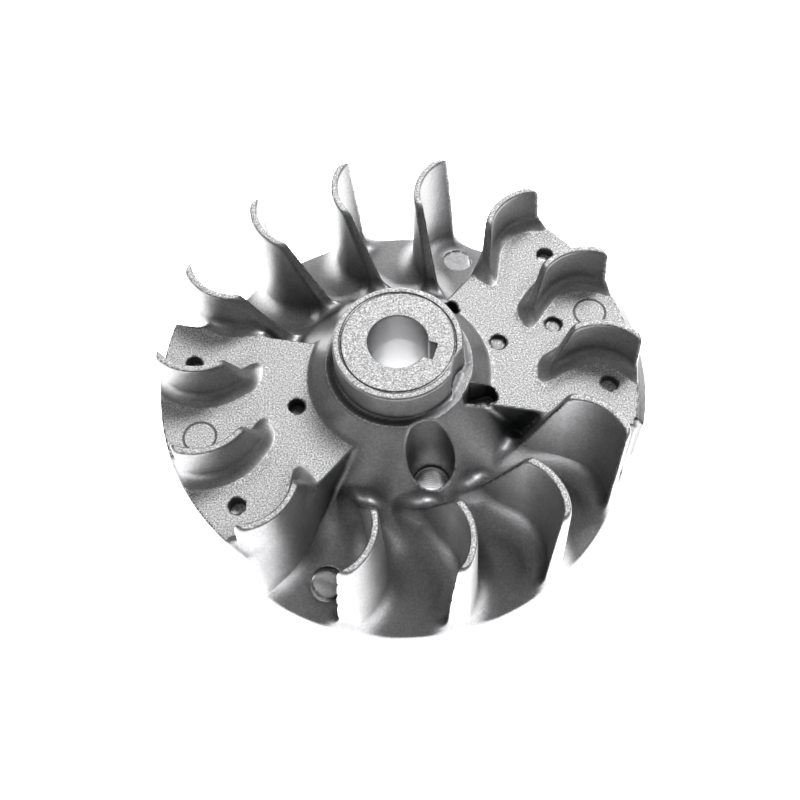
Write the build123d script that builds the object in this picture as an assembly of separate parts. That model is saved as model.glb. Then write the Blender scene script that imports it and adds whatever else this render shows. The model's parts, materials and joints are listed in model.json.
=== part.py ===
from build123d import *
import math
import os

# Die-cast fan flywheel of a small two-stroke engine, with a cast-in magnet and counterweight.
# Millimetres. Origin: centre of the bore in the hub's nut face. +Z: out of the nut face.
# The fan blades stand on the +Z side, the engine is on the -Z side.

# hub
HUB_R = 11.3
HUB_EDGE = 0.6
WITNESS_R = 9.8
WITNESS_WIDTH = 0.25
WITNESS_DEPTH = 0.12
LEDGE_R = 13.0
LEDGE_Z = -6.9
BORE_R = 5.2
BORE_LAND = 8.0
TAPER = 1 / 10
HUB_BASE_Z = -33.6
BOSS_R = 14.5

# keyway, cut through the whole bore
KEY_ANGLE = -21.0
KEY_WIDTH = 3.2
KEY_DEPTH = 1.45

# scallop in the side of the hub
SCALLOP_R = 6.0
SCALLOP_DEPTH = 1.1
SCALLOP_ANGLE = -25.0

# web, a cone that runs out to the rim
CONE_SLOPE = 1.28
WEB_SLOPE = 0.42
WEB_BLEND_R = 12.0
WEB_WALL = 3.9
WEB_EDGE_Z = -29.4
RIM_R = 43.0
RIM_WALL = 4.0
RIM_BASE_Z = -34.0
UNDERCUT_R = 20.0
UNDERCUT_TOP_Z = -20.3

# two raised sectors, opposite each other
SECTOR_ANGLES = {"magnet": 16.3, "counterweight": 196.3}
SECTOR_Z = -11.1
SECTOR_TAPER = 29.7
SECTOR_OFFSET = 4.2
SECTOR_FLOOR_Z = -27.6
MAGNET_PAD_R = 44.0
MAGNET_PAD_HALF = 32.5
MAGNET_FLAT_R = 42.2
MAGNET_PAD_TOP = SECTOR_Z - 2.0
MAGNET_PAD_BASE = SECTOR_Z - 14.6

# fan blades: straight from the nose to the corner, then an arc to the tip
BLADES = 14
BLADE_PITCH = 360 / BLADES
BLADE_CORNER_R = 30.2
BLADE_CORNER_ANGLE = 156.58
BLADE_TIP_R = 41.9
BLADE_SWEEP = 4.33
BLADE_SAGITTA = 2.2
BLADE_NOSE_R = 23.0
BLADE_NOSE_Z = SECTOR_Z - 8.2
BLADE_TOP_Z = -1.2
BLADE_WALL = 1.3
BLADE_DRAFT = 1.5
BLADE_FLARE = 0.4
BLADE_FLARE_DROP = 23.2
BLADE_SPARE = 3.0

# puller holes, counterbored and threaded M6
PULLER_R = 17.0
PULLER_ANGLES = (-74.5, 105.5)
PULLER_POCKET_R = 3.8
PULLER_SEAT_Z = SECTOR_Z - 12.2
PULLER_THREAD_R = 2.5
PULLER_BOSS_R = 5.6
PULLER_BASE_Z = -32.0

# slots in the two inner corners of the magnet sector
SLOT_WIDTH = 3.2
SLOT_OFFSET = 9.6
SLOT_INNER_X = 8.0
SLOT_OUTER_X = 14.7
SLOT_DEPTH = 3.4
SLOT_CORNER_R = 1.0

# locating-pin holes: radius on the sector, angle from its centreline, depth
PIN_R = 1.5
INSERT_PIN_R = 37.3
INSERT_PIN_ANGLE = 23.3
SHALLOW_PINS = {"magnet": (19.0, 29.8), "counterweight": (19.3,)}
SHALLOW_PIN_DEPTH = {"magnet": 1.0, "counterweight": 2.6}

# ejector-pin marks: shallow on the sectors, level spots in the sloping web
EJECTOR_R = 2.85
EJECTOR_MARK = 0.2
FLAT_EJECTOR_R = 37.0
WEB_EJECTORS = ((36.8, 69.0), (36.2, 245.7))
WEB_EJECTOR_Z = SECTOR_Z - 15.5

# pole shoes, magnet and counterweight, cast in
SHEETS = 10
SHEET = 1.2
INSERT_TOP = {"magnet": SECTOR_Z - 2.0, "counterweight": SECTOR_Z - 2.8}
SHOE_OUTER_R = {"magnet": MAGNET_PAD_R, "counterweight": 41.4}
SHOE_INNER = 27.0
MAGNET_OUTER = 36.0
MAGNET_HALF = 8.5
SHOE_FACE_ANGLES = (15.0, 31.0)
SHOE_BACK = 0.9
SHOE_HEEL = (31.5, 18.6)
RIVET_R = 1.25
RIVET_HEAD_R = 2.2
RIVET_HEAD = 0.7
SECOND_RIVET = (30.2, 12.2)

# how far a tool runs past the face it cuts
PAST = 1.0


def at(radius, degrees):
    """Point at a radius and an angle about the bore."""
    return (radius * math.cos(math.radians(degrees)), radius * math.sin(math.radians(degrees)))


def post(radius, top, bottom, centre=(0, 0)):
    """Upright cylinder between two heights."""
    return Pos(centre[0], centre[1], bottom) * Cylinder(
        radius, top - bottom, align=(Align.CENTER, Align.CENTER, Align.MIN)
    )


def revolved(*pieces):
    """Solid of revolution about the bore, from (radius, height) corners or edges, in order."""
    ends = []
    for piece in pieces:
        corner = isinstance(piece, tuple)
        start = Vector(piece[0], 0, piece[1]) if corner else piece @ 0
        ends.append((start, start if corner else piece @ 1))
    edges = [piece for piece in pieces if not isinstance(piece, tuple)]
    for (_, end), (start, _) in zip(ends, ends[1:] + ends[:1]):
        if (start - end).length > 1e-6:
            edges.append(Line(end, start))
    return revolve(Face(Wire(edges)), Axis.Z)


def prism(face, top, bottom):
    """Upright prism over a flat face drawn at height zero."""
    return Pos(0, 0, bottom) * extrude(face, top - bottom)


def web_blend():
    """Radii where the arc between the hub cone and the web cone starts and ends."""
    drop = LEDGE_Z - WEB_EDGE_Z + CONE_SLOPE * LEDGE_R - WEB_SLOPE * RIM_R
    corner = drop / (CONE_SLOPE - WEB_SLOPE)
    steep = math.atan(CONE_SLOPE)
    shallow = math.atan(WEB_SLOPE)
    reach = WEB_BLEND_R * math.tan((steep - shallow) / 2)
    return corner - reach * math.cos(steep), corner + reach * math.cos(shallow)


def web_height(radius):
    """Height of the top of the web at a radius."""
    start, end = web_blend()
    if radius <= start:
        return LEDGE_Z - CONE_SLOPE * (radius - LEDGE_R)
    if radius >= end:
        return WEB_EDGE_Z + WEB_SLOPE * (RIM_R - radius)
    steep = math.atan(CONE_SLOPE)
    centre_r = start + WEB_BLEND_R * math.sin(steep)
    centre_z = web_height(start) + WEB_BLEND_R * math.cos(steep)
    return centre_z - math.sqrt(WEB_BLEND_R**2 - (radius - centre_r) ** 2)


def web_edges(inner, outer, drop=0, outward=True):
    """The web's top from one radius to another, lowered by a drop: a line, an arc and a line."""
    start, end = web_blend()
    radii = (inner, start, (start + end) / 2, end, outer)
    places = [(radius, 0, web_height(radius) - drop) for radius in radii]
    if outward:
        return [Line(places[0], places[1]), ThreePointArc(*places[1:4]), Line(places[3], places[4])]
    return [Line(places[4], places[3]), ThreePointArc(*places[3:0:-1]), Line(places[1], places[0])]


def bell():
    """Hub, web and rim as one body of revolution, solid underneath."""
    hub = [(0, 0), (HUB_R - HUB_EDGE, 0), (HUB_R, -HUB_EDGE), (HUB_R, LEDGE_Z)]
    rim = [(RIM_R, RIM_BASE_Z), (RIM_R - RIM_WALL, RIM_BASE_Z)]
    base = [(BOSS_R, RIM_BASE_Z), (BOSS_R, HUB_BASE_Z), (0, HUB_BASE_Z)]
    return revolved(*hub, *web_edges(LEDGE_R, RIM_R), *rim, *base)


def sector_face(angle, radius):
    """Outline of a raised sector: tapered sides cut off by the rim's circle."""
    inner = 6.0
    outer = RIM_R + 5
    grow = math.tan(math.radians(SECTOR_TAPER))
    corners = [
        (inner, -SECTOR_OFFSET - grow * inner),
        (outer, -SECTOR_OFFSET - grow * outer),
        (outer, SECTOR_OFFSET + grow * outer),
        (inner, SECTOR_OFFSET + grow * inner),
    ]
    wedge = make_face(Polyline(*corners, close=True))
    return Rot(0, 0, angle) * wedge & Circle(radius)


def magnet_pad():
    """Turned outer face of the magnet sector, with a bevel up to the flat."""
    inner = SHOE_HEEL[0]
    foot = MAGNET_PAD_BASE - PAST
    ring = revolved(
        (inner, SECTOR_Z),
        (MAGNET_FLAT_R, SECTOR_Z),
        (MAGNET_PAD_R, MAGNET_PAD_TOP),
        (MAGNET_PAD_R, MAGNET_PAD_BASE),
        (RIM_R - PAST, foot),
        (inner, foot),
    )
    reach = MAGNET_PAD_R * 1.3
    ends = [at(reach, -MAGNET_PAD_HALF), (reach * 1.2, 0), at(reach, MAGNET_PAD_HALF)]
    wedge = make_face(Polyline((0, 0), *ends, close=True))
    return ring & prism(Rot(0, 0, SECTOR_ANGLES["magnet"]) * wedge, SECTOR_Z + PAST, foot - PAST)


def sectors():
    """The two raised sectors."""
    foot = WEB_EDGE_Z - PAST
    magnet_top = prism(sector_face(SECTOR_ANGLES["magnet"], MAGNET_FLAT_R), SECTOR_Z, MAGNET_PAD_TOP)
    magnet_foot = prism(sector_face(SECTOR_ANGLES["magnet"], RIM_R), MAGNET_PAD_TOP, foot)
    weight_side = prism(sector_face(SECTOR_ANGLES["counterweight"], RIM_R), SECTOR_Z, foot)
    return magnet_top + magnet_foot + magnet_pad() + weight_side


def blade_prism(index):
    """One blade as an upright drafted wall, longer than it is cut to."""
    corner_angle = BLADE_CORNER_ANGLE - index * BLADE_PITCH
    corner = Vector(*at(BLADE_CORNER_R, corner_angle))
    end = Vector(*at(BLADE_TIP_R, corner_angle - BLADE_SWEEP))
    chord = end - corner
    side = Vector(-chord.Y, chord.X).normalized()
    middle = (corner + end) * 0.5 + side * BLADE_SAGITTA
    radius = chord.length**2 / (8 * BLADE_SAGITTA) + BLADE_SAGITTA / 2
    half = math.degrees(math.asin(chord.length / 2 / radius))
    inward = (corner - end).rotate(Axis.Z, half).normalized()
    foot = corner + inward * (BLADE_CORNER_R - BLADE_NOSE_R + BLADE_SPARE)
    arc = ThreePointArc(corner, middle, end)
    beyond = Line(end, end + arc % 1 * BLADE_SPARE / 2)
    line = Wire([Line(foot, corner), arc, beyond])
    top = make_face(offset(line, BLADE_WALL / 2, kind=Kind.ARC, side=Side.BOTH))
    height = BLADE_TOP_Z - RIM_BASE_Z
    return Pos(0, 0, BLADE_TOP_Z) * extrude(top, height, dir=(0, 0, -1), taper=-BLADE_DRAFT)


def fan_envelope():
    """Body of revolution that cuts the blades: slanted front edge, upright outer edge."""
    return revolved(
        (BLADE_NOSE_R, BLADE_NOSE_Z),
        (BLADE_CORNER_R, BLADE_TOP_Z),
        (BLADE_TIP_R, BLADE_TOP_Z),
        (BLADE_TIP_R + BLADE_FLARE, BLADE_TOP_Z - BLADE_FLARE_DROP),
        (RIM_R, WEB_EDGE_Z - WEB_WALL / 16),
        *web_edges(BLADE_NOSE_R - PAST, RIM_R - PAST / 10, WEB_WALL / 2, outward=False),
    )


def fan():
    """All the blades."""
    walls = [blade_prism(index) for index in range(BLADES)]
    envelope = fan_envelope()
    return [wall & envelope for wall in walls]


def undercut():
    """Hollow under the web, left full under the sectors where the inserts lie."""
    outer = RIM_R - RIM_WALL
    ceiling = web_edges(UNDERCUT_R, outer, WEB_WALL, outward=False)
    base = RIM_BASE_Z - PAST
    hollow = revolved((BOSS_R, base), (outer, base), *ceiling, (BOSS_R, UNDERCUT_TOP_Z))
    for angle in SECTOR_ANGLES.values():
        hollow -= prism(sector_face(angle, RIM_R), SECTOR_Z, SECTOR_FLOOR_Z)
    for angle in PULLER_ANGLES:
        hollow -= post(PULLER_BOSS_R, LEDGE_Z, PULLER_BASE_Z, at(PULLER_R, angle))
    return hollow


def bore():
    """Straight land under the nut face, then the taper for the crankshaft, and the keyway."""
    mouth_r = BORE_R + (-HUB_BASE_Z - BORE_LAND) * TAPER / 2
    below = HUB_BASE_Z - PAST
    land = [(0, PAST), (BORE_R, PAST), (BORE_R, -BORE_LAND)]
    hole = revolved(*land, (mouth_r, HUB_BASE_Z), (mouth_r, below), (0, below))
    slot_reach = BORE_R + KEY_DEPTH
    slot = Pos(slot_reach / 2, 0, HUB_BASE_Z / 2) * Box(slot_reach, KEY_WIDTH, 2 * PAST - HUB_BASE_Z)
    return hole + Rot(0, 0, KEY_ANGLE) * slot


def hub_cuts():
    """Witness line on the nut face and the scallop in the hub's side."""
    line = post(WITNESS_R + WITNESS_WIDTH, PAST, -WITNESS_DEPTH) - post(WITNESS_R, 2 * PAST, -PAST)
    scallop_centre = at(HUB_R - SCALLOP_DEPTH + SCALLOP_R, SCALLOP_ANGLE)
    return [line, post(SCALLOP_R, PAST, LEDGE_Z, scallop_centre)]


def puller_cuts():
    """Counterbores and threads for the puller screws."""
    cuts = []
    for angle in PULLER_ANGLES:
        centre = at(PULLER_R, angle)
        cuts.append(post(PULLER_POCKET_R, LEDGE_Z + PAST / 2, PULLER_SEAT_Z, centre))
        cuts.append(post(PULLER_THREAD_R, LEDGE_Z, PULLER_BASE_Z - PAST, centre))
    return cuts


def corner_slots():
    """Slots in the inner corners of the magnet sector, open above and towards the hub."""
    length = SLOT_OUTER_X - SLOT_INNER_X
    middle = (SLOT_OUTER_X + SLOT_INNER_X) / 2
    bottom = SECTOR_Z - SLOT_DEPTH
    block = Box(length, SLOT_WIDTH, -bottom, align=(Align.CENTER, Align.CENTER, Align.MIN))
    block = fillet(block.edges().filter_by(Axis.Z).group_by(Axis.X)[-1], SLOT_CORNER_R)
    hub = post(LEDGE_R, PAST, HUB_BASE_Z)
    turn = Rot(0, 0, SECTOR_ANGLES["magnet"])
    return [turn * Pos(middle, side * SLOT_OFFSET, bottom) * block - hub for side in (-1, 1)]


def pin_holes():
    """Holes left by the pins that held the inserts, and by the shallow pins on the centreline."""
    cuts = []
    for name, angle in SECTOR_ANGLES.items():
        for side in (-1, 1):
            centre = at(INSERT_PIN_R, angle + side * INSERT_PIN_ANGLE)
            cuts.append(post(PIN_R, SECTOR_Z + PAST, INSERT_TOP[name], centre))
        bottom = SECTOR_Z - SHALLOW_PIN_DEPTH[name]
        for radius in SHALLOW_PINS[name]:
            cuts.append(post(PIN_R, SECTOR_Z + PAST, bottom, at(radius, angle)))
    return cuts


def ejector_cuts():
    """Round marks of the ejector pins."""
    cuts = [post(EJECTOR_R, SECTOR_Z, WEB_EJECTOR_Z, at(*place)) for place in WEB_EJECTORS]
    for angle in SECTOR_ANGLES.values():
        centre = at(FLAT_EJECTOR_R, angle)
        cuts.append(post(EJECTOR_R, SECTOR_Z + PAST, SECTOR_Z - EJECTOR_MARK, centre))
    return cuts


def ejector_spots():
    """Outer halves of the level spots, which stand out of the web."""
    return [post(EJECTOR_R, WEB_EJECTOR_Z, WEB_EDGE_Z, at(*place)) for place in WEB_EJECTORS]


def shoe_face(name, side):
    """Outline of one pole-shoe sheet on a sector; side is -1 or 1 from the centreline."""
    outer = SHOE_OUTER_R[name]
    near, far = SHOE_FACE_ANGLES
    face = [at(outer * 1.2, near), at(outer * 1.2, far), at(outer * SHOE_BACK, far)]
    points = [(SHOE_INNER, MAGNET_HALF), (MAGNET_OUTER, MAGNET_HALF), *face, SHOE_HEEL]
    outline = make_face(Polyline(*[(x, side * y) for x, y in points], close=True))
    return Rot(0, 0, SECTOR_ANGLES[name]) * (outline & Circle(outer))


def rivet_places(name, side):
    """The two rivets of one stack."""
    angle = SECTOR_ANGLES[name]
    first = at(INSERT_PIN_R, angle + side * INSERT_PIN_ANGLE)
    x, y = SECOND_RIVET
    second = at(math.hypot(x, y), angle + side * math.degrees(math.atan2(y, x)))
    return first, second


def shoe_sheets(name, side):
    """The punched steel sheets of one stack, top one first."""
    face = shoe_face(name, side)
    for place in rivet_places(name, side):
        face -= Pos(*place) * Circle(RIVET_R)
    top = INSERT_TOP[name] - RIVET_HEAD
    tops = [top - number * SHEET for number in range(SHEETS)]
    return [prism(face, level, level - SHEET) for level in tops]


def rivet(name, place):
    """One rivet with flat heads, through its stack."""
    top = INSERT_TOP[name]
    bottom = top - SHEETS * SHEET - 2 * RIVET_HEAD
    shank = post(RIVET_R, top - RIVET_HEAD / 2, bottom + RIVET_HEAD / 2, place)
    head = post(RIVET_HEAD_R, top, top - RIVET_HEAD, place)
    foot = post(RIVET_HEAD_R, bottom + RIVET_HEAD, bottom, place)
    return shank + head + foot


def magnet():
    """Bar magnet between the two pole shoes."""
    top = INSERT_TOP["magnet"] - RIVET_HEAD
    width = 2 * MAGNET_HALF
    depth = MAGNET_OUTER - SHOE_INNER
    centre = ((MAGNET_OUTER + SHOE_INNER) / 2, 0, top - SHEETS * SHEET / 2)
    return Rot(0, 0, SECTOR_ANGLES["magnet"]) * (Pos(*centre) * Box(depth, width, SHEETS * SHEET))


def inserts():
    """Every cast-in piece, by node name."""
    pieces = {"magnet": [magnet()]}
    for name, stem in (("magnet", "pole_shoe"), ("counterweight", "counterweight")):
        for letter, side in (("a", 1), ("b", -1)):
            sheets = shoe_sheets(name, side)
            for number, sheet in enumerate(sheets, 1):
                pieces[f"{stem}_{letter}_sheet_{number:02d}"] = [sheet]
            pieces[f"{stem}_{letter}_rivets"] = [rivet(name, place) for place in rivet_places(name, side)]
    return pieces


def insert_space(name, side):
    """Room that one stack and its rivets leave in the casting."""
    top = INSERT_TOP[name] - RIVET_HEAD
    space = prism(shoe_face(name, side), top, top - SHEETS * SHEET)
    for place in rivet_places(name, side):
        space += rivet(name, place)
    return space


def wheel_casting():
    """The aluminium casting, with room for the inserts."""
    body = bell() + sectors()
    for piece in fan() + ejector_spots():
        body += piece
    cuts = [undercut(), bore(), magnet(), *hub_cuts(), *puller_cuts()]
    cuts += [*corner_slots(), *pin_holes(), *ejector_cuts()]
    for name in SECTOR_ANGLES:
        for side in (-1, 1):
            cuts.append(insert_space(name, side))
    for cut in cuts:
        body -= cut
    return body


def write(node, solids):
    """One STEP file per node."""
    shape = solids[0] if len(solids) == 1 else Compound(children=solids)
    export_step(shape, f"parts/{node}.step")


def main():
    os.makedirs("parts", exist_ok=True)
    write("wheel_casting", [wheel_casting()])
    for node, solids in inserts().items():
        write(node, solids)


main()
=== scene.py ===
"""Looks of the fan flywheel: the cast wheel's skin, its cast-in iron and a plain stage."""

import json
import math

import bpy
import numpy as np
from bpy.props import FloatProperty, FloatVectorProperty, PointerProperty
from mathutils import Matrix, Vector


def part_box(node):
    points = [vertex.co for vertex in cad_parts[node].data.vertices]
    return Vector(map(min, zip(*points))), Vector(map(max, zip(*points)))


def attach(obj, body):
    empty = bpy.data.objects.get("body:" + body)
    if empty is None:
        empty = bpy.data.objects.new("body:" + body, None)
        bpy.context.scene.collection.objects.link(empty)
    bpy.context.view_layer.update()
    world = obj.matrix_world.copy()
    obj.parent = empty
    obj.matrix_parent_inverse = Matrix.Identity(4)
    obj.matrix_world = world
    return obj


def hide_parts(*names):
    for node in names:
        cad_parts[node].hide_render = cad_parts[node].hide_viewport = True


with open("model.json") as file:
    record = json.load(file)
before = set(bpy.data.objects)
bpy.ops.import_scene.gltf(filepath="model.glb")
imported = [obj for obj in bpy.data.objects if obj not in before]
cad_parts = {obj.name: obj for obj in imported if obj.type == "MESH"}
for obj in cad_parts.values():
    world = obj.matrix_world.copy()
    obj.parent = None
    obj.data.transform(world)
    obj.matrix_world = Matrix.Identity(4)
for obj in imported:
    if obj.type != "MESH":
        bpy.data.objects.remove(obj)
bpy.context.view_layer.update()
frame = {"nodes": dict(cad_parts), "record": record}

bl_info = {
    "name": "Fan flywheel",
    "version": (1, 0, 0),
    "blender": (4, 5, 0),
    "location": "3D View > Sidebar > Flywheel",
    "description": "Builds the cast wheel's skin, its cast-in iron and a plain stage",
    "category": "Object",
}

MM = 0.001
MOUNTS = {mount["name"]: mount for mount in frame["record"]["mounts"]}
NODES = frame["nodes"]

# Everything below is in metres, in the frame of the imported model.
# hub
HUB_R = 11.3 * MM
HUB_EDGE = 0.6 * MM
WITNESS_R = 9.93 * MM
WITNESS_WIDTH = 0.3 * MM
WITNESS_DEPTH = 0.16 * MM
LEDGE_R = 13.0 * MM
LEDGE_Z = -6.9 * MM
BORE_R = MOUNTS["crank_bore"]["dims"]["r_mm"] * MM
BORE_LAND = MOUNTS["crank_bore"]["dims"]["length_mm"] * MM
TAPER = 1 / 10
HUB_BASE_Z = -33.6 * MM
BOSS_R = 14.5 * MM
HUB_SPLIT_Z = LEDGE_Z + 0.5 * MM

# keyway, and the scallop in the hub's side
KEY_ANGLE = -21.0
KEY_WIDTH = 3.2 * MM
KEY_REACH = BORE_R + 1.45 * MM
SCALLOP_R = 6.0 * MM
SCALLOP_DEPTH = 1.1 * MM
SCALLOP_ANGLE = -25.0

# web and rim
CONE_SLOPE = 1.28
WEB_SLOPE = 0.42
WEB_BLEND = 1.5 * MM
WEB_DROP = 3.9 * MM
WEB_EDGE_Z = -29.4 * MM
RIM_R = 43.0 * MM
RIM_WALL = 4.0 * MM
RIM_BASE_Z = MOUNTS["engine_side"]["pos_m"][2]
UNDERCUT_TOP_Z = -20.0 * MM

# raised sectors
MAGNET_ANGLE = 16.3
WEIGHT_ANGLE = MAGNET_ANGLE + 180
SECTOR_Z = -11.1 * MM
SECTOR_TAPER = math.radians(29.7)
SECTOR_OFFSET = 4.2 * MM
SECTOR_FLOOR_Z = -27.6 * MM
PAD_R = 44.0 * MM
PAD_HALF = math.radians(32.5)
PAD_FLAT_R = 42.2 * MM
PAD_TOP_Z = SECTOR_Z - 2.0 * MM
PAD_BASE_Z = SECTOR_Z - 14.6 * MM

# fan blades
BLADES = 14
BLADE_PITCH = math.tau / BLADES
BLADE_CORNER_R = 30.2 * MM
BLADE_CORNER_ANGLE = math.radians(156.58)
BLADE_TIP_R = 41.9 * MM
BLADE_SWEEP = math.radians(4.33)
BLADE_SAGITTA = 2.2 * MM
BLADE_NOSE_R = 23.0 * MM
BLADE_NOSE_Z = SECTOR_Z - 8.2 * MM
BLADE_TOP_Z = -1.2 * MM
BLADE_WALL = 1.3 * MM
BLADE_DRAFT = math.radians(1.5)
BLADE_TOP_ROUND = 1.0 * MM
BLADE_OUTER_DRAFT = 0.02
BLADE_PAST_TIP = 1.4 * MM
BLADE_PAST_NOSE = 3 * MM
FILLET_GROWTH = 0.12
FILLET_GROWTH_DEPTH = 12 * MM

# puller holes
PULLER_R = MOUNTS["puller_holes"]["dims"]["pcd_mm"] * MM / 2
PULLER_ANGLES = (-74.5, 105.5)
PULLER_POCKET_R = 3.75 * MM
PULLER_POCKET_LEVEL = 7 * MM
PULLER_POCKET_DRAFT = 0.08
PULLER_SEAT_Z = SECTOR_Z - 12.2 * MM
PULLER_THREAD_R = MOUNTS["puller_holes"]["dims"]["hole_r_mm"] * MM
PULLER_THREAD_PITCH = 1.0 * MM
PULLER_THREAD_DEPTH = 0.5 * MM
PULLER_BOSS_R = 5.6 * MM
PULLER_BASE_Z = -32.0 * MM
THREAD_LINER_WALL = 0.3 * MM
THREAD_LINER_TOP = 0.05 * MM
THREAD_LINER_BASE = 0.2 * MM
THREAD_CREST = 1.25
THREAD_FLANK = 3.2
THREAD_FADE = 0.8

# slots, locating holes and ejector marks
SLOT_WIDTH = 3.2 * MM
SLOT_OFFSET = 9.6 * MM
SLOT_INNER = 8.0 * MM
SLOT_OUTER = 14.7 * MM
SLOT_DEPTH = 3.4 * MM
PIN_R = 1.5 * MM
INSERT_PIN_R = 37.3 * MM
INSERT_PIN_ANGLE = 23.3
SHALLOW_PINS = {MAGNET_ANGLE: (19.0 * MM, 29.8 * MM), WEIGHT_ANGLE: (19.3 * MM,)}
SHALLOW_PIN_DEPTH = {MAGNET_ANGLE: 1.0 * MM, WEIGHT_ANGLE: 2.6 * MM}
EJECTOR_R = 2.85 * MM
EJECTOR_LINE = 0.3 * MM
FLAT_EJECTOR_R = 37.0 * MM
WEB_EJECTORS = ((36.8 * MM, 69.0), (36.2 * MM, 245.7))
WEB_EJECTOR_Z = SECTOR_Z - 15.5 * MM

# cast-in stacks
SHEETS = 10
STACK_HEIGHT = 12.0 * MM
RIVET_HEAD = 0.7 * MM
RIVET_HEAD_R = 2.2 * MM
INSERT_TOP = {MAGNET_ANGLE: SECTOR_Z - 2.0 * MM, WEIGHT_ANGLE: SECTOR_Z - 2.8 * MM}
SHOE_OUTER_R = {MAGNET_ANGLE: PAD_R, WEIGHT_ANGLE: 41.4 * MM}
SHOE_INNER = 27.0 * MM
MAGNET_OUTER = 36.0 * MM
MAGNET_HALF = 8.5 * MM
SHOE_FACE_ANGLES = (math.radians(15.0), math.radians(31.0))
SHOE_HEEL = (31.5 * MM, 18.6 * MM)
SECOND_RIVET = (30.2 * MM, 12.2 * MM)

# fillets and broken edges of the casting
LEDGE_EDGE = 0.25 * MM
SECTOR_FILLET = 1.0 * MM
SPOT_EDGE = 0.3 * MM
PAD_EDGE = 0.3 * MM
HUB_FILLET = 0.4 * MM
SCALLOP_EDGE = 0.2 * MM
HOLLOW_EDGE = 0.4 * MM
HOLLOW_TOP_FILLET = 1.5 * MM
HOLLOW_FILLET = 1.2 * MM
BOSS_FILLET = 0.8 * MM
STACK_EDGE = 0.02 * MM
SLOT_END_ROUND = 1.0 * MM
HOLE_EDGE = 0.12 * MM
POCKET_EDGE = 0.35 * MM
POCKET_SEAT_FILLET = 0.3 * MM
BORE_EDGE = 0.18 * MM

# how far the mesh's point values look
NORMAL_REACH = 0.06 * MM
OPEN_REACHES = (1.5 * MM, 5.0 * MM)
EDGE_REACH = 0.5 * MM

# tones
BORE_TONE = (0.28, 0.28, 0.285)
# near-black tones of the painted shade on the magnet sector's bevel
BEVEL_SHADE_TONES = ((0.02, 0.02, 0.021), (0.05, 0.05, 0.051))
# near-black tone of the painted shade in corners and recesses
CORNER_SHADE_TONE = (0.03, 0.03, 0.032)
MARK_TONE = (0.04, 0.04, 0.04)
SHEET_TONES = ((0.09, 0.088, 0.085), (0.17, 0.166, 0.16))
STAIN_TONE = (0.05, 0.035, 0.025)
SEAM_TONE = (0.015, 0.013, 0.012)
RIVET_TONES = ((0.34, 0.34, 0.335), (0.72, 0.72, 0.71))
MAGNET_TONES = ((0.035, 0.034, 0.033), (0.09, 0.088, 0.085))
TURNED_STRETCH = (0.05, 0.05, 1.0)
NOISE_SHIFT = (0.1713, 0.2931, 0.1371)

# stage
FLOOR_HALF = 2.0
GLOW_REACH = (0.10, 0.26)
GLOW_TONES = ((1.0, 1.0, 1.0), (0.15, 0.15, 0.15))
LAMP_SIZE = 0.20
LOW_LAMP = (-0.50, -0.20, 0.03)
TOP_LAMP = (0.24, 0.24, 0.48)
SENSOR = 36
CAMERA_SHIFT = (0.0006, -0.0335)
CLIP_START = 0.005


# ---------------------------------------------------------------- distances
def soft_min(a, b, radius):
    """Joins two solids, given as distances, with a fillet."""
    corner = np.hypot(np.maximum(radius - a, 0), np.maximum(radius - b, 0))
    return np.maximum(np.minimum(a, b), radius) - corner


def soft_max(a, b, radius):
    """Keeps what two solids share, with a rounded edge."""
    return -soft_min(-a, -b, radius)


def cut(solid, tool, radius):
    """Takes a tool out of a solid and rounds the edge it leaves."""
    return soft_max(solid, -tool, radius)


def place(radius, degrees):
    """Point at a radius and an angle about the bore."""
    angle = math.radians(degrees)
    return radius * math.cos(angle), radius * math.sin(angle)


def turned(x, y, degrees):
    """Coordinates along and across a direction from the bore."""
    c, s = place(1.0, degrees)
    return x * c + y * s, y * c - x * s


def from_axis(x, y, centre):
    """Distance in plan from an upright axis."""
    return np.hypot(x - centre[0], y - centre[1])


def post(x, y, z, radius, top, bottom, centre=(0.0, 0.0)):
    """Upright cylinder between two heights."""
    across = from_axis(x, y, centre) - radius
    return np.maximum(across, np.maximum(z - top, bottom - z))


def web_top(radius, z):
    """Upper face of the web: a steep cone that turns into a shallow one."""
    steep = (z - LEDGE_Z + CONE_SLOPE * (radius - LEDGE_R)) / math.hypot(1, CONE_SLOPE)
    shallow = (z - WEB_EDGE_Z + WEB_SLOPE * (radius - RIM_R)) / math.hypot(1, WEB_SLOPE)
    return soft_min(steep, shallow, WEB_BLEND)


def sector_sides(x, y, degrees):
    """Tapered sides of a raised sector."""
    along, across = turned(x, y, degrees)
    half = SECTOR_OFFSET + math.tan(SECTOR_TAPER) * along
    return (np.abs(across) - half) * math.cos(SECTOR_TAPER)


def pad_bevel(radius, z):
    """Bevel between the magnet sector's flat and its turned face."""
    run = PAD_R - PAD_FLAT_R
    rise = SECTOR_Z - PAD_TOP_Z
    return ((radius - PAD_R) * rise + (z - PAD_TOP_Z) * run) / math.hypot(run, rise)


def magnet_pad(x, y, z):
    """Turned face of the magnet sector with the bevel above it."""
    along, across = turned(x, y, MAGNET_ANGLE)
    radius = np.hypot(x, y)
    ends = np.abs(across) * math.cos(PAD_HALF) - along * math.sin(PAD_HALF)
    sides = np.maximum(radius - PAD_R, pad_bevel(radius, z))
    face = np.maximum(sides, np.maximum(z - SECTOR_Z, PAD_BASE_Z - z))
    return soft_max(face, ends, PAD_EDGE)


def outer_limit(x, y, z):
    """Outside of the rim, drawn in above the magnet sector's bevel."""
    radius = np.hypot(x, y)
    above = np.minimum(radius - PAD_FLAT_R, pad_bevel(radius, z))
    in_magnet = sector_sides(x, y, MAGNET_ANGLE) < 0
    return np.where(in_magnet, np.maximum(above, radius - RIM_R), radius - RIM_R)


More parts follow.
